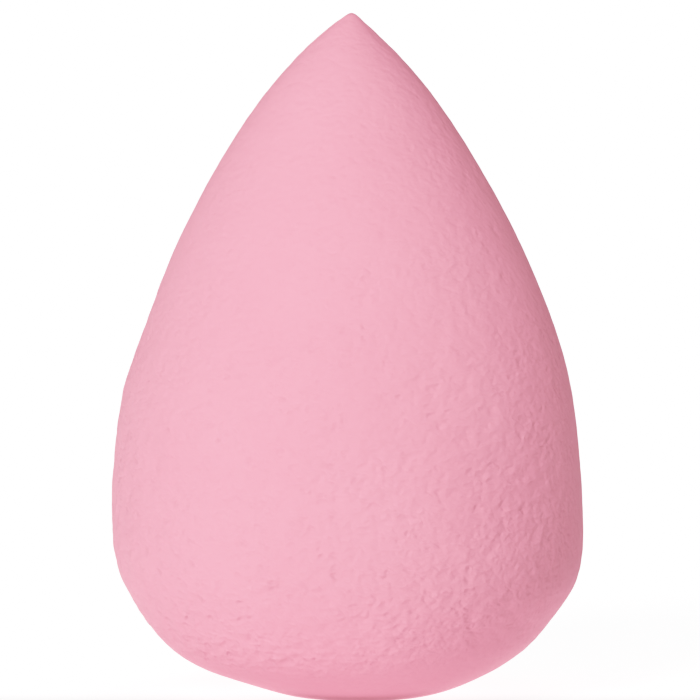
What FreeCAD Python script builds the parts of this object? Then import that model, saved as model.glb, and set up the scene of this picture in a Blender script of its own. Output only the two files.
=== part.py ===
import FreeCAD, Part
import math
import os

import Sketcher

# Teardrop cosmetic sponge of moulded soft foam, standing on its rounded end.
# Two solids that fill one another exactly:
#   outer_skin  the dense, fine-celled skin that forms against the mould
#   foam_core   the open-celled foam that fills it
# Frame: +Z up through the tip, origin at the middle of the small flat that the
# sponge stands on. Millimetres and degrees.

doc = FreeCAD.newDocument("makeup_sponge")

# ---------------------------------------------------------------- dimensions
# The outline is one chain of tangent arcs, from the base flat outward and up
# to the tip. Each arc has a radius and, up to the belly, a turning angle. The
# turning of the last two arcs follows from the height and from the tip's
# rounding, which is centred on the axis.
DIMS = [
    ("total_height", 60.0, "table to tip"),
    ("skin_thickness", 0.5, "dense moulded skin, measured square to the surface"),
    ("base_flat_radius", 4.0, "flat that the sponge settles on"),
    ("bowl_radius", 18.6, "rounded end, next to the flat"),
    ("bowl_turn", 32.7, "turning angle of that arc"),
    ("cheek_radius", 15.5, "rounded end, further out"),
    ("cheek_turn", 33.8, "turning angle of that arc"),
    ("shoulder_radius", 9.4, "tighter turn up into the side"),
    ("shoulder_turn", 19.0, "turning angle of that arc"),
    ("belly_radius", 47.4, "full side round the widest ring"),
    ("belly_turn", 23.7, "turning angle of that arc"),
    ("flank_radius", 80.6, "long, nearly straight taper"),
    ("neck_radius", 40.1, "last arc below the tip"),
    ("tip_radius", 0.7, "rounding of the tip"),
]

sheet = doc.addObject("Spreadsheet::Sheet", "dims")
for row, (alias, value, note) in enumerate(DIMS, start=1):
    sheet.set("A%d" % row, alias)
    sheet.set("B%d" % row, "%g" % value)
    sheet.set("C%d" % row, note)
    sheet.setAlias("B%d" % row, alias)
doc.recompute()


def dim(alias):
    return float(getattr(sheet, alias))


# Arcs in order, with the cell of the turning angle where one is given.
ARCS = [
    ("bowl", "bowl_turn"),
    ("cheek", "cheek_turn"),
    ("shoulder", "shoulder_turn"),
    ("belly", "belly_turn"),
    ("flank", None),
    ("neck", None),
]
# Starting guess, degrees, for the two turning angles that the closing fixes.
FREE_TURNS = {"flank": 15.0, "neck": 17.6}


def origin_plane(body, role):
    for feature in body.Origin.OriginFeatures:
        if feature.Role == role:
            return feature
    raise RuntimeError("no origin plane " + role)


def outline(body, name, inset):
    """Half section of the sponge, drawn to the right of the axis.

    With inset, every arc keeps its centre and its turning angle and loses the
    skin's thickness from its radius, which is the skin's inner face.
    """
    sketch = body.newObject("Sketcher::SketchObject", name)
    sketch.AttachmentSupport = [(origin_plane(body, "XZ_Plane"), "")]
    sketch.MapMode = "FlatFace"

    wall = dim("skin_thickness") if inset else 0.0
    less = " - dims.skin_thickness" if inset else ""
    up = FreeCAD.Vector(0, 0, 1)
    named = []

    def add(constraint, label=None, expression=None):
        index = sketch.addConstraint(constraint)
        if label:
            sketch.renameConstraint(index, label)
            named.append((label, expression))
        return index

    # The base line, from the axis to the edge of the flat.
    base = sketch.addGeometry(
        Part.LineSegment(
            FreeCAD.Vector(0, wall, 0), FreeCAD.Vector(dim("base_flat_radius"), wall, 0)
        ),
        False,
    )
    if inset:
        add(Sketcher.Constraint("PointOnObject", base, 1, -2))
        add(
            Sketcher.Constraint("DistanceY", -1, 1, base, 1, wall),
            "floor_height",
            "dims.skin_thickness",
        )
    else:
        add(Sketcher.Constraint("Coincident", base, 1, -1, 1))
    add(Sketcher.Constraint("Horizontal", base))
    add(
        Sketcher.Constraint("DistanceX", base, 1, base, 2, dim("base_flat_radius")),
        "flat_radius",
        "dims.base_flat_radius",
    )

    # The chain of arcs. The heading turns left all the way round, so each
    # centre lies to the left of the path.
    x, z, heading = dim("base_flat_radius"), wall, 0.0
    last = base
    for part_name, turn_alias in ARCS:
        radius = dim(part_name + "_radius") - wall
        turn = math.radians(dim(turn_alias) if turn_alias else FREE_TURNS[part_name])
        centre = FreeCAD.Vector(
            x - radius * math.sin(heading), z + radius * math.cos(heading), 0
        )
        arc = sketch.addGeometry(
            Part.ArcOfCircle(
                Part.Circle(centre, up, radius),
                heading - math.pi / 2,
                heading + turn - math.pi / 2,
            ),
            False,
        )
        add(Sketcher.Constraint("Tangent", last, 2, arc, 1))
        add(
            Sketcher.Constraint("Radius", arc, radius),
            part_name + "_r",
            "dims.%s_radius%s" % (part_name, less),
        )
        if turn_alias:
            add(
                Sketcher.Constraint("Angle", arc, turn),
                part_name + "_a",
                "dims.%s * 1 deg" % turn_alias,
            )
        heading += turn
        x = centre.x + radius * math.sin(heading)
        z = centre.y - radius * math.cos(heading)
        last = arc

    # The rounded tip, centred on the axis.
    radius = dim("tip_radius") - wall
    top = dim("total_height") - wall
    tip = sketch.addGeometry(
        Part.ArcOfCircle(
            Part.Circle(FreeCAD.Vector(0, top - radius, 0), up, radius),
            heading - math.pi / 2,
            math.pi / 2,
        ),
        False,
    )
    add(Sketcher.Constraint("Tangent", last, 2, tip, 1))
    add(
        Sketcher.Constraint("Radius", tip, radius),
        "tip_r",
        "dims.tip_radius" + less,
    )
    add(Sketcher.Constraint("PointOnObject", tip, 3, -2))
    add(Sketcher.Constraint("PointOnObject", tip, 2, -2))
    add(
        Sketcher.Constraint("DistanceY", -1, 1, tip, 2, top),
        "tip_height",
        "dims.total_height" + less,
    )

    # Back down the axis.
    axis = sketch.addGeometry(
        Part.LineSegment(FreeCAD.Vector(0, top, 0), FreeCAD.Vector(0, wall, 0)), False
    )
    add(Sketcher.Constraint("Coincident", tip, 2, axis, 1))
    add(Sketcher.Constraint("Coincident", axis, 2, base, 1))

    for label, expression in named:
        sketch.setExpression("Constraints." + label, expression)
    doc.recompute()
    if sketch.solve() != 0:
        raise RuntimeError(name + ": the outline does not solve")
    return sketch


def turned(body, kind, name, sketch):
    feature = body.newObject(kind, name)
    feature.Profile = sketch
    feature.ReferenceAxis = (sketch, ["V_Axis"])
    feature.Angle = 360.0
    doc.recompute()
    return feature


# ----------------------------------------------------------------- the skin
# Turned solid of the whole outside, hollowed by the same outline set inward
# by the skin's thickness.
skin = doc.addObject("PartDesign::Body", "outer_skin")
skin.Label = "outer_skin"
skin.Placement = FreeCAD.Placement(FreeCAD.Vector(0, 0, 0), FreeCAD.Rotation())
skin_outside = outline(skin, "skin_outside", False)
skin_blank = turned(skin, "PartDesign::Revolution", "skin_blank", skin_outside)
blank_volume = skin_blank.Shape.Volume
skin_inside = outline(skin, "skin_inside", True)
skin_hollow = turned(skin, "PartDesign::Groove", "skin_hollow", skin_inside)

# ----------------------------------------------------------------- the core
# Fills the skin face to face: the two are one casting and never come apart.
core = doc.addObject("PartDesign::Body", "foam_core")
core.Label = "foam_core"
core.Placement = FreeCAD.Placement(FreeCAD.Vector(0, 0, 0), FreeCAD.Rotation())
core_outside = outline(core, "core_outside", True)
core_fill = turned(core, "PartDesign::Revolution", "core_fill", core_outside)

doc.recompute()

# -------------------------------------------------------------------- checks
for item in doc.Objects:
    if "Invalid" in item.State or "Error" in item.State:
        raise RuntimeError("%s failed: %s" % (item.Label, item.State))
for body in (skin, core):
    if body.Shape.isNull() or not body.Shape.isValid():
        raise RuntimeError(body.Label + " has no valid shape")
    if len(body.Shape.Solids) != 1:
        raise RuntimeError(body.Label + " is not one solid")
for sketch in (skin_outside, skin_inside, core_outside):
    missing = sketch.getLastDoF() if hasattr(sketch, "getLastDoF") else 0
    if missing:
        raise RuntimeError("%s is %d constraints short" % (sketch.Label, missing))

# The hollow has to be exactly what the core fills.
gap = blank_volume - skin.Shape.Volume - core.Shape.Volume
if abs(gap) > 1e-3 * blank_volume:
    raise RuntimeError("skin and core do not add up to the whole: %.3f mm3" % gap)
box = skin.Shape.optimalBoundingBox(True, False)
print("height %.3f  width %.3f  depth %.3f mm" % (box.ZLength, box.XLength, box.YLength))
print(
    "skin %.1f mm3  core %.1f mm3  whole %.1f mm3"
    % (skin.Shape.Volume, core.Shape.Volume, blank_volume)
)

# -------------------------------------------------------------------- export
os.makedirs("parts", exist_ok=True)
for body in (skin, core):
    body.Shape.exportStep("parts/%s.step" % body.Label)
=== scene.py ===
"""Teardrop makeup sponge of moulded pink foam, standing on its rounded end.

Two pieces stand for the two CAD solids: the pebbled outer skin, a closed shell,
and the open-celled core inside it. Lengths are millimetres until a mesh is made,
where they become metres.
"""

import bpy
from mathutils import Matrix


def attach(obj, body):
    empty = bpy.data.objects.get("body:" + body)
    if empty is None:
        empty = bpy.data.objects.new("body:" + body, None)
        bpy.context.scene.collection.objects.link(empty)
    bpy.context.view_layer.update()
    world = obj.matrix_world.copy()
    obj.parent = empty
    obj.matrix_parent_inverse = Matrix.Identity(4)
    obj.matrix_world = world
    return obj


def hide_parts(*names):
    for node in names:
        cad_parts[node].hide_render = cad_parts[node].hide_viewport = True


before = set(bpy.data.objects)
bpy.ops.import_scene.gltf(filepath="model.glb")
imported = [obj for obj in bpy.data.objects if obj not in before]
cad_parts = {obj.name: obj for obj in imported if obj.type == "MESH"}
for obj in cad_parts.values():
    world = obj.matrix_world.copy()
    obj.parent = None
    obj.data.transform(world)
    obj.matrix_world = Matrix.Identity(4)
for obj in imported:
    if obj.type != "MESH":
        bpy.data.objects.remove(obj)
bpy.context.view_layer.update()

import math

import bpy
import numpy as np
from mathutils import Vector, kdtree

MM = 0.001
# The scene is lit so that its whitest white is 1.
EXPOSURE = 0.877
# Glow of the floor under the sponge, in front of it, and behind it. The first two values are painted shadow: the
# sponge's contact shadow under its foot, and a dimmer zone in front of it and to its +X side.
FLOOR_GLOW = [EXPOSURE * v for v in (0.45, 0.715, 0.99)]

# ------------------------------------------------------------------- outline
# Outline of the sponge as distances from a point on the axis, CENTRE_Z up, by
# angle above the horizontal. The foam isn't perfectly round: the two sides
# differ by up to 0.6 mm, most of all under the rounded end, where
# the sponge has settled over to one side.
CENTRE_Z = 18.0
TOP_Z = 60.0
BOTH_SIDES_TOP = [(90.0, 42.000), (89.72, 41.950), (89.4, 41.822), (88.9, 41.560),
                  (88.0, 41.050), (86.0, 39.930), (83.0, 38.251), (80.0, 36.610),
                  (77.0, 35.004), (74.0, 33.466), (70.0, 31.584)]
#         angle   -X side  +X side
SIDES = [(66.0, 29.916, 29.935), (62.0, 28.451, 28.502), (58.0, 27.161, 27.235),
         (54.0, 26.016, 26.129), (50.0, 25.008, 25.186), (46.0, 24.142, 24.384),
         (42.0, 23.425, 23.693), (38.0, 22.851, 23.091), (34.0, 22.405, 22.560),
         (30.0, 22.055, 22.090), (26.0, 21.754, 21.677), (22.0, 21.446, 21.320),
         (18.0, 21.154, 21.021), (14.0, 20.926, 20.784), (10.0, 20.776, 20.616),
         (6.0, 20.695, 20.525), (2.0, 20.681, 20.514), (-2.0, 20.733, 20.584),
         (-6.0, 20.849, 20.729), (-10.0, 21.003, 20.940), (-14.0, 21.153, 21.191),
         (-18.0, 21.247, 21.405), (-22.0, 21.232, 21.456), (-26.0, 21.129, 21.322),
         (-30.0, 21.033, 21.129), (-34.0, 20.949, 20.986), (-38.0, 20.838, 20.882),
         (-42.0, 20.663, 20.718), (-46.0, 20.403, 20.478), (-50.0, 20.052, 20.217),
         (-54.0, 19.652, 19.969), (-58.0, 19.275, 19.749), (-62.0, 18.985, 19.546),
         (-66.0, 18.792, 19.324)]
# Contact with the table: the angles where each side meets the flat.
FLAT_FROM = (-77.5, -72.0)


def spline(knots_x, knots_y):
    """Natural cubic spline through the knots, as a function."""
    x = np.asarray(knots_x, float)
    y = np.asarray(knots_y, float)
    order = np.argsort(x)
    x, y = x[order], y[order]
    n = len(x)
    h = np.diff(x)
    a = np.eye(n)
    b = np.zeros(n)
    for i in range(1, n - 1):
        a[i, i - 1] = h[i - 1]
        a[i, i] = 2 * (h[i - 1] + h[i])
        a[i, i + 1] = h[i]
        b[i] = 6 * ((y[i + 1] - y[i]) / h[i] - (y[i] - y[i - 1]) / h[i - 1])
    m = np.linalg.solve(a, b)

    def value(q):
        q = np.clip(q, x[0], x[-1])
        i = np.clip(np.searchsorted(x, q) - 1, 0, n - 2)
        t0, t1, w = x[i + 1] - q, q - x[i], h[i]
        return (
            (m[i] * t0**3 + m[i + 1] * t1**3) / (6 * w)
            + (y[i] / w - m[i] * w / 6) * t0
            + (y[i + 1] / w - m[i + 1] * w / 6) * t1
        )

    return value


def side_outline(column):
    angles = [a for a, _ in BOTH_SIDES_TOP] + [row[0] for row in SIDES]
    radii = [r for _, r in BOTH_SIDES_TOP] + [row[1 + column] for row in SIDES]
    start = FLAT_FROM[column]
    for angle in (start, 0.5 * (start - 90.0), -90.0):
        angles.append(angle)
        radii.append(CENTRE_Z / abs(math.sin(math.radians(angle))))
    return spline(angles, radii)


OUTLINE = (side_outline(0), side_outline(1))

# Height along the outline by the share of the surface above it, so that mesh
# faces come out about the same size all over.
_angle = np.radians(np.linspace(90.0, -90.0, 6001))
_rho = 0.5 * (OUTLINE[0](np.degrees(_angle)) + OUTLINE[1](np.degrees(_angle)))
_r, _z = _rho * np.cos(_angle), CENTRE_Z + _rho * np.sin(_angle)
_ring = 0.5 * (_r[1:] + _r[:-1]) * np.hypot(np.diff(_r), np.diff(_z))
_share = np.concatenate([[0.0], np.cumsum(_ring)])
_share /= _share[-1]


def smoothstep(lo, hi, value):
    t = np.clip((value - lo) / (hi - lo), 0.0, 1.0)
    return t * t * (3.0 - 2.0 * t)


def on_sponge(direction):
    """Points of the smooth sponge for unit directions, in millimetres."""
    share = 0.5 * (1.0 - direction[:, 2])
    angle = np.interp(share, _share, np.degrees(_angle))
    azimuth = np.arctan2(direction[:, 1], direction[:, 0])
    left, right = OUTLINE[0](angle), OUTLINE[1](angle)
    rho = 0.5 * (left + right) + 0.5 * (right - left) * np.cos(azimuth)
    radius = rho * np.cos(np.radians(angle))
    point = np.empty_like(direction)
    point[:, 2] = np.maximum(CENTRE_Z + rho * np.sin(np.radians(angle)), 0.0)
    # The point of the tip leans a little to +X.
    lean = 0.30 * np.clip((point[:, 2] - 56.5) / 3.5, 0.0, 1.0) ** 2
    point[:, 0] = radius * np.cos(azimuth) + lean
    point[:, 1] = radius * np.sin(azimuth)
    return point


# -------------------------------------------------------------------- lattice
def cube_sphere(n):
    """Even lattice of quads on a sphere: unit directions, quads, and for each
    quad's corners the cube face and the place on it, 0 to 1."""
    i, j = np.meshgrid(np.arange(n), np.arange(n), indexing="ij")
    i, j = i.ravel(), j.ravel()
    corner = np.stack(
        [np.stack([i, j], 1), np.stack([i + 1, j], 1),
         np.stack([i + 1, j + 1], 1), np.stack([i, j + 1], 1)], 1)
    keys, places = [], []
    for face in range(6):
        axis, far = face // 2, face % 2
        u_axis, v_axis = (axis + 1) % 3, (axis + 2) % 3
        if not far:
            u_axis, v_axis = v_axis, u_axis
        grid = np.empty(corner.shape[:2] + (3,), int)
        grid[..., axis] = n if far else 0
        grid[..., u_axis] = corner[..., 0]
        grid[..., v_axis] = corner[..., 1]
        keys.append(grid)
        places.append((np.full(len(i), face), corner / n))
    grid = np.concatenate(keys).reshape(-1, 3)
    code = (grid[:, 0] * (n + 1) + grid[:, 1]) * (n + 1) + grid[:, 2]
    _, first, index = np.unique(code, return_index=True, return_inverse=True)
    cube = np.tan((grid[first] / n * 2.0 - 1.0) * math.pi / 4.0)
    direction = cube / np.linalg.norm(cube, axis=1, keepdims=True)
    face = np.concatenate([p[0] for p in places])
    place = np.concatenate([p[1] for p in places])
    return direction, index.reshape(-1, 4), face, place


def normals(points, quads):
    """Outward vertex normals."""
    a, b, c, d = (points[quads[:, k]] for k in range(4))
    cross = np.cross(c - a, d - b)
    total = np.zeros_like(points)
    for k in range(4):
        np.add.at(total, quads[:, k], cross)
    return total / np.linalg.norm(total, axis=1, keepdims=True)


def inset(points, outward, depth):
    """Points moved straight towards the middle of the sponge until they lie the
    depth below its surface. They stay in order, also in the narrow tip."""
    ray = points - np.array([0.0, 0.0, CENTRE_Z])
    ray /= np.linalg.norm(ray, axis=1, keepdims=True)
    return points - ray * (depth / np.sum(ray * outward, axis=1))[:, None]


# --------------------------------------------------------------------- relief
def waves(points, shortest, longest, count, seed):
    """Smooth random field of unit spread, with wavelengths in millimetres."""
    rng = np.random.default_rng(seed)
    way = rng.normal(size=(count, 3))
    way /= np.linalg.norm(way, axis=1, keepdims=True)
    length = np.exp(rng.uniform(math.log(shortest), math.log(longest), count))
    way *= (2.0 * math.pi / length)[:, None]
    phase = rng.uniform(0.0, 2.0 * math.pi, count)
    field = np.zeros(len(points))
    for k in range(0, count, 40):
        field += np.cos(points @ way[k:k + 40].T + phase[k:k + 40]).sum(1)
    return field * math.sqrt(2.0 / count)


def scattered(points, spacing, seed):
    """Indices of points picked at random, none closer than the spacing."""
    rng = np.random.default_rng(seed)
    order = rng.permutation(len(points))
    cell = np.floor(points / spacing).astype(int)
    taken, picked = {}, []
    for index in order:
        p = points[index]
        x, y, z = cell[index]
        clear = True
        for key in ((x + a, y + b, z + c)
                    for a in (-1, 0, 1) for b in (-1, 0, 1) for c in (-1, 0, 1)):
            for other in taken.get(key, ()):
                q = points[other]
                if (p[0] - q[0])**2 + (p[1] - q[1])**2 + (p[2] - q[2])**2 < spacing**2:
                    clear = False
                    break
            if not clear:
                break
        if clear:
            taken.setdefault((x, y, z), []).append(index)
            picked.append(index)
    return np.array(picked)


def pits(points, spacing, size, seed):
    """Burst bubbles: shallow round craters with a raised rim, unit depth."""
    rng = np.random.default_rng(seed)
    centre = scattered(points, spacing, seed)
    tree = kdtree.KDTree(len(points))
    for index, p in enumerate(points):
        tree.insert(p, index)
    tree.balance()
    field = np.zeros(len(points))
    for index in centre:
        radius = rng.uniform(*size)
        depth = rng.uniform(0.35, 1.0)
        for _, near, away in tree.find_range(points[index], 2.2 * radius):
            t = away / radius
            field[near] += depth * (0.30 * math.exp(-((t - 1.15) / 0.42) ** 2)
                                    - math.exp(-((t / 0.72) ** 2)))
    return field


# --------------------------------------------------------------------- meshes
def make_mesh(name, walls, material):
    """Object of one or more closed walls. Each wall is (points in millimetres,
    quads, face numbers, places, strip of the UV square, inward, values by
    name)."""
    points, quads, uvs, values, start = [], [], [], {}, 0
    for p, q, face, place, strip, inward, value in walls:
        u0, v0, u1, v1 = strip
        du, dv = (u1 - u0) / 3.0, (v1 - v0) / 2.0
        pad = 0.012
        uv = np.empty(place.shape)
        uv[..., 0] = u0 + du * ((face % 3)[:, None] + pad + (1 - 2 * pad) * place[..., 0])
        uv[..., 1] = v0 + dv * ((face // 3)[:, None] + pad + (1 - 2 * pad) * place[..., 1])
        corner = q + start
        if inward:
            corner, uv = corner[:, ::-1], uv[:, ::-1]
        points.append(p)
        quads.append(corner)
        uvs.append(uv)
        for key, numbers in value.items():
            values.setdefault(key, []).append(numbers)
        start += len(p)
    points = np.concatenate(points) * MM
    quads = np.concatenate(quads)
    uvs = np.concatenate(uvs)
    mesh = bpy.data.meshes.new(name)
    mesh.vertices.add(len(points))
    mesh.vertices.foreach_set("co", points.astype(np.float32).ravel())
    mesh.loops.add(4 * len(quads))
    mesh.loops.foreach_set("vertex_index", quads.astype(np.int32).ravel())
    mesh.polygons.add(len(quads))
    mesh.polygons.foreach_set("loop_start", np.arange(0, 4 * len(quads), 4, dtype=np.int32))
    mesh.update(calc_edges=True)
    mesh.polygons.foreach_set("use_smooth", np.ones(len(quads), dtype=bool))
    layer = mesh.uv_layers.new(name="OFBake")
    layer.data.foreach_set("uv", uvs.astype(np.float32).ravel())
    for key, numbers in values.items():
        layer = mesh.attributes.new(key, "FLOAT", "POINT")
        layer.data.foreach_set("value", np.concatenate(numbers).astype(np.float32))
    mesh.validate()
    mesh.materials.append(material)
    piece = bpy.data.objects.new(name, mesh)
    bpy.context.scene.collection.objects.link(piece)
    return piece


# ------------------------------------------------------------------ materials
def new_material(name):
    material = bpy.data.materials.new(name)
    material.use_nodes = True
    tree = material.node_tree
    tree.nodes.clear()
    out = tree.nodes.new("ShaderNodeOutputMaterial")
    shader = tree.nodes.new("ShaderNodeBsdfPrincipled")
    tree.links.new(shader.outputs["BSDF"], out.inputs["Surface"])
    return material, tree, shader


def noise(tree, coords, per_m, detail=2.0, roughness=0.5):
    node = tree.nodes.new("ShaderNodeTexNoise")
    node.inputs["Scale"].default_value = per_m
    node.inputs["Detail"].default_value = detail
    node.inputs["Roughness"].default_value = roughness
    tree.links.new(coords, node.inputs["Vector"])
    return node.outputs["Fac"]


def cells(tree, coords, per_m, feature="F1"):
    node = tree.nodes.new("ShaderNodeTexVoronoi")
    node.feature = feature
    node.inputs["Scale"].default_value = per_m
    tree.links.new(coords, node.inputs["Vector"])
    return node


def math_node(tree, kind, a, b=None, c=None):
    node = tree.nodes.new("ShaderNodeMath")
    node.operation = kind
    for slot, value in enumerate((a, b, c)):
        if value is None:
            continue
        if isinstance(value, (int, float)):
            node.inputs[slot].default_value = value
        else:
            tree.links.new(value, node.inputs[slot])
    return node.outputs[0]


def ramp(tree, value, lo, hi, out_lo, out_hi):
    node = tree.nodes.new("ShaderNodeMapRange")
    node.interpolation_type = "SMOOTHSTEP"
    for key, number in (("From Min", lo), ("From Max", hi), ("To Min", out_lo), ("To Max", out_hi)):
        node.inputs[key].default_value = number
    tree.links.new(value, node.inputs["Value"])
    return node.outputs["Result"]


def blend(tree, factor, a, b):
    node = tree.nodes.new("ShaderNodeMix")
    node.data_type = "RGBA"
    tree.links.new(factor, node.inputs["Factor"])
    for key, value in (("A", a), ("B", b)):
        sockets = [s for s in node.inputs if s.name == key and s.type == "RGBA"]
        if isinstance(value, tuple):
            sockets[0].default_value = (*value, 1.0)
        else:
            tree.links.new(value, sockets[0])
    return [s for s in node.outputs if s.type == "RGBA"][0]


def bump(tree, height, distance, strength=1.0, below=None):
    node = tree.nodes.new("ShaderNodeBump")
    node.inputs["Strength"].default_value = strength
    node.inputs["Distance"].default_value = distance
    tree.links.new(height, node.inputs["Height"])
    if below is not None:
        tree.links.new(below, node.inputs["Normal"])
    return node.outputs["Normal"]


def attribute(tree, name):
    node = tree.nodes.new("ShaderNodeAttribute")
    node.attribute_name = name
    return node.outputs["Fac"]


def skin_material():
    material, tree, shader = new_material("skin_foam_pink")
    coords = tree.nodes.new("ShaderNodeTexCoord").outputs["Object"]
    # Fine grain between the modelled pebbles, and small burst cells. "grip" is how deep the relief is there, and
    # how strongly the burst pits are painted in shade; it also comes and goes in patches.
    patch = ramp(tree, noise(tree, coords, 300.0, 1.0), 0.34, 0.68, 0.76, 1.26)
    grip = math_node(tree, "MULTIPLY", attribute(tree, "grip"), patch)
    flatter = tree.nodes.new("ShaderNodeVectorMath")
    flatter.operation = "MULTIPLY"
    tree.links.new(coords, flatter.inputs[0])
    flatter.inputs[1].default_value = (0.90, 0.74, 1.12)
    flat = flatter.outputs["Vector"]
    swirl = tree.nodes.new("ShaderNodeTexNoise")
    swirl.inputs["Scale"].default_value = 900.0
    swirl.inputs["Detail"].default_value = 0.0
    tree.links.new(flat, swirl.inputs["Vector"])
    bend = tree.nodes.new("ShaderNodeVectorMath")
    bend.operation = "MULTIPLY_ADD"
    tree.links.new(swirl.outputs["Color"], bend.inputs[0])
    bend.inputs[1].default_value = (0.0005, 0.0005, 0.0005)
    tree.links.new(flat, bend.inputs[2])
    pit = cells(tree, bend.outputs["Vector"], 1250.0)
    chosen = tree.nodes.new("ShaderNodeSeparateColor")
    tree.links.new(pit.outputs["Color"], chosen.inputs["Color"])
    rare = ramp(tree, chosen.outputs[0], 0.20, 0.95, 0.0, 1.0)
    hole = math_node(tree, "MULTIPLY", ramp(tree, pit.outputs["Distance"], 0.05, 0.50, 1.0, 0.0), rare)
    grain = noise(tree, flat, 1500.0, 1.0, 0.4)
    pebble = cells(tree, bend.outputs["Vector"], 1600.0, "SMOOTH_F1")
    pebble.inputs["Smoothness"].default_value = 0.55
    height = math_node(tree, "MULTIPLY_ADD", grain, 0.95, -0.45)
    height = math_node(tree, "MULTIPLY_ADD", pebble.outputs["Distance"], -0.62, height)
    height = math_node(tree, "MULTIPLY_ADD", hole, -0.40, height)
    relief = bump(tree, math_node(tree, "MULTIPLY", height, grip), 0.000087)
    tree.links.new(relief, shader.inputs["Normal"])
    # Pink with slow mottling. The burst pits are painted a darker, deeper pink: painted shade in the hollows,
    # stronger where grip is.
    slow = ramp(tree, noise(tree, coords, 90.0, 2.0), 0.30, 0.70, 0.0, 1.0)
    colour = blend(tree, slow, (0.896, 0.436, 0.522), (0.903, 0.445, 0.531))
    # Painted shade: darker pink mixed into the burst pits.
    painted_pit_shade = math_node(tree, "MULTIPLY", math_node(tree, "MULTIPLY", hole, grip), 0.06)
    colour = blend(tree, painted_pit_shade, colour, (0.740, 0.340, 0.415))
    tree.links.new(colour, shader.inputs["Base Color"])
    rough = ramp(tree, noise(tree, coords, 700.0, 2.0), 0.3, 0.7, 0.80, 0.95)
    tree.links.new(rough, shader.inputs["Roughness"])
    shader.inputs["Specular IOR Level"].default_value = 0.22
    shader.inputs["Sheen Weight"].default_value = 0.05
    shader.inputs["Sheen Roughness"].default_value = 0.55
    shader.inputs["Sheen Tint"].default_value = (1.0, 0.86, 0.90, 1.0)
    return material


def core_material():
    material, tree, shader = new_material("core_foam_pink")
    coords = tree.nodes.new("ShaderNodeTexCoord").outputs["Object"]
    cell = cells(tree, coords, 2600.0)
    pore = ramp(tree, cell.outputs["Distance"], 0.15, 0.55, 1.0, 0.0)
    wide = cells(tree, coords, 1100.0)
    open_cell = ramp(tree, wide.outputs["Distance"], 0.10, 0.40, 1.0, 0.0)
    height = math_node(tree, "MULTIPLY", math_node(tree, "ADD", pore, open_cell), -0.5)
    tree.links.new(bump(tree, height, 0.00018), shader.inputs["Normal"])
    slow = ramp(tree, noise(tree, coords, 140.0, 3.0), 0.30, 0.70, 0.0, 1.0)
    colour = blend(tree, slow, (0.870, 0.400, 0.505), (0.895, 0.430, 0.535))
    # Painted shade: the open pores are mixed toward a dark pink.
    colour = blend(tree, math_node(tree, "MULTIPLY", pore, 0.55), colour, (0.700, 0.230, 0.330))
    # Painted shade: the core's dents are mixed toward a darker pink by their depth.
    colour = blend(tree, math_node(tree, "MULTIPLY", attribute(tree, "painted_dent_shade"), 0.6), colour, (0.640, 0.190, 0.290))
    tree.links.new(colour, shader.inputs["Base Color"])
    rough = ramp(tree, noise(tree, coords, 900.0, 2.0), 0.3, 0.7, 0.86, 0.98)
    tree.links.new(rough, shader.inputs["Roughness"])
    shader.inputs["Specular IOR Level"].default_value = 0.15
    shader.inputs["Sheen Weight"].default_value = 0.10
    shader.inputs["Sheen Roughness"].default_value = 0.6
    return material


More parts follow.
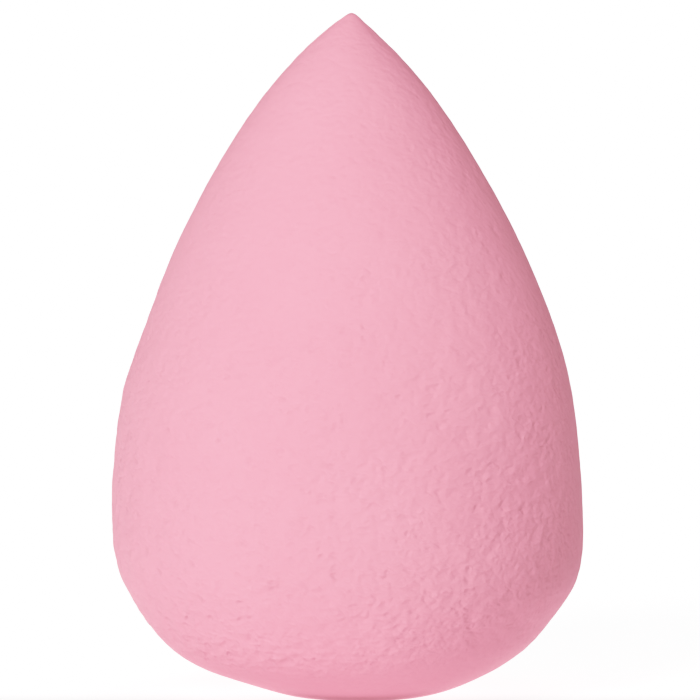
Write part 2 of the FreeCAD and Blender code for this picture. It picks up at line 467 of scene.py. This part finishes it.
def floor_material():
    """Pale sheet over a light table. Its glow is dimmed around and in front of the sponge as a painted shadow, and
    tinted pink in front of it as a painted reflection of the sponge.
    """
    material, tree, shader = new_material("pale_floor")
    coords = tree.nodes.new("ShaderNodeTexCoord").outputs["Object"]
    slow = ramp(tree, noise(tree, coords, 3.0, 2.0), 0.3, 0.7, 0.0, 1.0)
    tree.links.new(blend(tree, slow, (0.245, 0.245, 0.245), (0.255, 0.255, 0.255)), shader.inputs["Base Color"])
    tree.links.new(bump(tree, noise(tree, coords, 900.0, 2.0), 0.00002), shader.inputs["Normal"])
    tree.links.new(ramp(tree, noise(tree, coords, 40.0, 2.0), 0.3, 0.7, 0.75, 0.9), shader.inputs["Roughness"])
    shader.inputs["Specular IOR Level"].default_value = 0.1
    # The foot of the sponge stands a little to +X.
    foot = tree.nodes.new("ShaderNodeVectorMath")
    foot.operation = "SUBTRACT"
    tree.links.new(coords, foot.inputs[0])
    foot.inputs[1].default_value = (0.0009, 0.0, 0.0)
    away = tree.nodes.new("ShaderNodeVectorMath")
    away.operation = "LENGTH"
    tree.links.new(foot.outputs["Vector"], away.inputs[0])
    place = tree.nodes.new("ShaderNodeSeparateXYZ")
    tree.links.new(coords, place.inputs["Vector"])
    # Painted contact shadow: the glow drops to its lowest within about 9 mm of the foot, on the floor in front of
    # it.
    outside_contact_shadow = math_node(tree, "MAXIMUM", ramp(tree, away.outputs["Value"], 0.0080, 0.0098, 0.0, 1.0),
                         ramp(tree, place.outputs["Y"], -0.0070, -0.0042, 0.0, 1.0))
    near = math_node(tree, "MULTIPLY_ADD", outside_contact_shadow, FLOOR_GLOW[1] - FLOOR_GLOW[0], FLOOR_GLOW[0])
    # A painted shadow patch on the floor, dimmest close in front of the foot on the +X side.
    painted_shadow_patch = tree.nodes.new("ShaderNodeVectorMath")
    painted_shadow_patch.operation = "DISTANCE"
    tree.links.new(coords, painted_shadow_patch.inputs[0])
    painted_shadow_patch.inputs[1].default_value = (0.028, -0.016, 0.0)
    painted_shadow_patch = math_node(tree, "MULTIPLY", ramp(tree, painted_shadow_patch.outputs["Value"], 0.008, 0.026, 0.15, 0.0),
                     ramp(tree, place.outputs["Y"], -0.010, -0.004, 1.0, 0.0))
    near = math_node(tree, "MULTIPLY", near, math_node(tree, "SUBTRACT", 1.0, painted_shadow_patch))
    # The dimmer part of the glow, a painted shadow, lies in front of the sponge and to its +X side. Its edge
    # softens with distance, and it is gone at arm's length.
    beyond = math_node(tree, "MAXIMUM", math_node(tree, "SUBTRACT", away.outputs["Value"], 0.03), 0.0)
    ahead = math_node(tree, "MULTIPLY_ADD", beyond, 0.12, math_node(tree, "ADD", place.outputs["Y"], 0.010))
    ahead = math_node(tree, "DIVIDE", ahead, math_node(tree, "MULTIPLY_ADD", beyond, 0.35, 0.013))
    aside = math_node(tree, "MULTIPLY_ADD", math_node(tree, "MAXIMUM", place.outputs["Y"], 0.0), -0.15, place.outputs["X"])
    behind = math_node(tree, "MULTIPLY", ramp(tree, ahead, 0.0, 1.0, 0.0, 1.0),
                       ramp(tree, aside, 0.032, 0.052, 1.0, 0.0))
    behind = math_node(tree, "MAXIMUM", behind, ramp(tree, away.outputs["Value"], 0.25, 0.80, 0.0, 1.0))
    far = math_node(tree, "MULTIPLY", behind, FLOOR_GLOW[2] - FLOOR_GLOW[1])
    # Painted reflection: the floor's glow is tinted pink in front of the sponge, as light bounced off it onto the
    # sheet would be.
    painted_bounce_fade = math_node(tree, "MAXIMUM", ramp(tree, away.outputs["Value"], 0.020, 0.060, 0.0, 1.0),
                     ramp(tree, place.outputs["Y"], -0.012, -0.003, 0.0, 1.0))
    tree.links.new(blend(tree, painted_bounce_fade, (1.0, 0.93, 0.955), (1.0, 1.0, 1.0)), shader.inputs["Emission Color"])
    tree.links.new(math_node(tree, "ADD", near, far), shader.inputs["Emission Strength"])
    return material


# --------------------------------------------------------------------- pieces
SKIN = 0.5          # thickness of the skin, as in the CAD part

# Outer wall of the skin, with its pebbled relief.
way, quads, face, place = cube_sphere(124)
smooth = on_sponge(way)
# Hand-made unevenness of the whole form, slow and slight.
smooth_normal = normals(smooth, quads)
free = smoothstep(0.15, 2.5, smooth[:, 2])
smooth = smooth + smooth_normal * (0.022 * free * waves(smooth, 9.0, 24.0, 60, 11))[:, None]
smooth_normal = normals(smooth, quads)

pebble = waves(smooth * (0.90, 0.74, 1.12), 1.00, 2.20, 420, 21)
pebble = pebble - 0.18 * (pebble**2 - 1.0)
swell = waves(smooth, 2.6, 6.0, 120, 22)
bubble = pits(smooth, 2.6, (0.22, 0.55), 23)
# The relief deepens towards the rounded end. The foam pressed against the
# table, and the rim above it, are smoother.
grip = np.interp(smooth[:, 2], [3.0, 7.0, 12.0, 24.0, 42.0, 60.0], [1.75, 1.80, 1.53, 1.30, 0.78, 0.68])
grip *= 0.55 + 0.45 * smoothstep(-0.90, -0.75, smooth_normal[:, 2])
# It is fainter in a band that runs round under the front and up the +X side. The vector below is the key light's
# direction, so the band is where the key light does not reach, and the painted shade in the pits is weaker there
# too.
grip *= 1.0 - 0.05 * smoothstep(0.0, 12.0, smooth[:, 0])
plain = smoothstep(-0.16, 0.10, smooth_normal @ np.array([-0.352, -0.791, 0.500]))
plain = np.maximum(plain, smoothstep(0.0, 0.20, smooth_normal[:, 1]))
grip *= 0.35 + 0.65 * plain
grip *= free
height = grip * (0.0150 * pebble + 0.0120 * swell + 0.016 * bubble)
outer = smooth + smooth_normal * height[:, None]
outer[:, 2] = np.maximum(outer[:, 2], 0.0)

# Inner wall of the skin.
way_in, quads_in, face_in, place_in = cube_sphere(28)
inner = on_sponge(way_in)
inner_normal = normals(inner, quads_in)
inner = inset(inner, inner_normal, SKIN)
inner[:, 2] = np.clip(inner[:, 2], SKIN, None)

skin = make_mesh(
    "sponge_skin",
    [(outer, quads, face, place, (0.0, 0.08, 1.0, 1.0), False,
      {"grip": grip}),
     (inner, quads_in, face_in, place_in, (0.0, 0.0, 0.24, 0.08), True,
      {"grip": np.zeros(len(inner))})],
    skin_material(),
)

# The core fills the skin. Its open cells are dents in its face.
way_core, quads_core, face_core, place_core = cube_sphere(72)
core = on_sponge(way_core)
core_normal = normals(core, quads_core)
dent = waves(core, 1.1, 2.6, 160, 31)
dent = 0.10 * smoothstep(-0.2, 1.6, dent)
# It stops a little short of the skin in the narrow tip.
short = 0.06 + 0.30 * smoothstep(51.0, 57.0, core[:, 2])
core = inset(core, core_normal, SKIN + short + dent)
core[:, 2] = np.maximum(core[:, 2], SKIN + 0.06)
core_piece = make_mesh(
    "sponge_core",
    [(core, quads_core, face_core, place_core, (0.0, 0.0, 1.0, 1.0), False,
      {"painted_dent_shade": dent / 0.10})],
    core_material(),
)

for piece, node, slot in ((skin, "outer_skin", "skin_foam"), (core_piece, "foam_core", "core_foam")):
    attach(piece, "root")
    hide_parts(node)


# ---------------------------------------------------------------------- stage
def make_floor(flat, edge, rise, rings, spokes):
    """Round floor of rings that widen outward. It is flat to the first radius
    and then rises gently to the edge, as a sweep does."""
    points = [(0.0, 0.0, 0.0)]
    faces = []
    for ring in range(1, rings + 1):
        r = edge * (ring / rings) ** 2.2
        z = rise * smoothstep(flat, edge, r) if r > flat else 0.0
        for spoke in range(spokes):
            a = 2.0 * math.pi * spoke / spokes
            points.append((r * math.cos(a), r * math.sin(a), float(z)))
    for spoke in range(spokes):
        faces.append((0, 1 + spoke, 1 + (spoke + 1) % spokes))
    for ring in range(1, rings):
        a, b = 1 + (ring - 1) * spokes, 1 + ring * spokes
        for spoke in range(spokes):
            other = (spoke + 1) % spokes
            faces.append((a + spoke, b + spoke, b + other, a + other))
    mesh = bpy.data.meshes.new("floor")
    mesh.from_pydata(points, [], faces)
    mesh.update()
    mesh.polygons.foreach_set("use_smooth", np.ones(len(faces), dtype=bool))
    mesh.materials.append(floor_material())
    floor = bpy.data.objects.new("floor", mesh)
    bpy.context.scene.collection.objects.link(floor)
    return floor


floor = make_floor(2.0, 9.0, 0.92, 40, 128)

# --------------------------------------------------------------------- lights
# A small key and broad, far softboxes, even over the whole floor.
#            name    azimuth  elevation  width  strength  colour
LIGHTS = [("key",      -24.0,   30.0,   16.0,  0.354, (1.0, 1.0, 1.0)),
          ("front",    -20.0,   12.0,   42.0,  0.243, (1.0, 1.0, 1.0)),
          ("left",     -95.0,   12.0,   42.0,  0.134, (0.93, 1.07, 1.05)),
          ("right",     90.0,   70.0,   42.0,  0.194, (1.0, 0.87, 0.90)),
          ("top",        0.0,   76.0,   42.0,  0.214, (1.0, 0.98, 0.99))]


def add_light(name, azimuth, elevation, width, strength, colour):
    """Azimuth 0 is the camera's side and +90 is +X; degrees."""
    a, e = math.radians(azimuth), math.radians(elevation)
    away = Vector((math.sin(a) * math.cos(e), -math.cos(a) * math.cos(e), math.sin(e)))
    light = bpy.data.lights.new(name, "SUN")
    light.angle = math.radians(width)
    light.energy = EXPOSURE * strength * math.pi
    light.color = colour
    lamp = bpy.data.objects.new(name, light)
    lamp.location = away
    lamp.rotation_euler = (-away).to_track_quat("-Z", "Y").to_euler()
    bpy.context.scene.collection.objects.link(lamp)
    return lamp


for row in LIGHTS:
    add_light(*row)

world = bpy.data.worlds.new("studio")
bpy.context.scene.world = world
world.use_nodes = True
background = world.node_tree.nodes["Background"]
background.inputs["Color"].default_value = (1.0, 1.0, 1.0, 1.0)
background.inputs["Strength"].default_value = 0.0

# --------------------------------------------------------------------- camera
ELEVATION = math.radians(3.0)
DISTANCE = 0.55
camera_data = bpy.data.cameras.new("camera")
camera_data.sensor_width = 36.0
camera_data.sensor_fit = "HORIZONTAL"
camera_data.lens = 36.0 * (11.40 * DISTANCE / MM) / 700.0
camera_data.clip_start = 0.01
camera_data.clip_end = 50.0
camera = bpy.data.objects.new("camera", camera_data)
aim = Vector((0.149 * MM, 0.0, 30.43 * MM))
back = Vector((0.0, -math.cos(ELEVATION), math.sin(ELEVATION)))
camera.location = aim + back * DISTANCE
camera.rotation_euler = (-back).to_track_quat("-Z", "Y").to_euler()
bpy.context.scene.collection.objects.link(camera)
bpy.context.scene.camera = camera

# ---------------------------------------------------------------- colour view
view = bpy.context.scene.view_settings
view.view_transform = "Standard"
view.look = "None"
view.exposure = 0.0
view.gamma = 1.0
view.use_curve_mapping = True
curves = view.curve_mapping
curves.use_clip = True
curves.clip_min_x, curves.clip_min_y = 0.0, 0.0
curves.clip_max_x, curves.clip_max_y = 1.0, 1.0
curves.extend = "HORIZONTAL"
TONE = [(0.0, 0.0), (0.175, 0.135), (0.263, 0.25), (0.395, 0.45), (0.526, 0.62),
        (0.658, 0.767), (0.816, 0.90), (1.0, 1.0)]
curve = curves.curves[3]
while len(curve.points) < len(TONE):
    curve.points.new(0.5, 0.5)
for point, (x, y) in zip(curve.points, TONE):
    point.location = (x, y)
    point.handle_type = "AUTO"
curves.update()

bpy.context.view_layer.update()
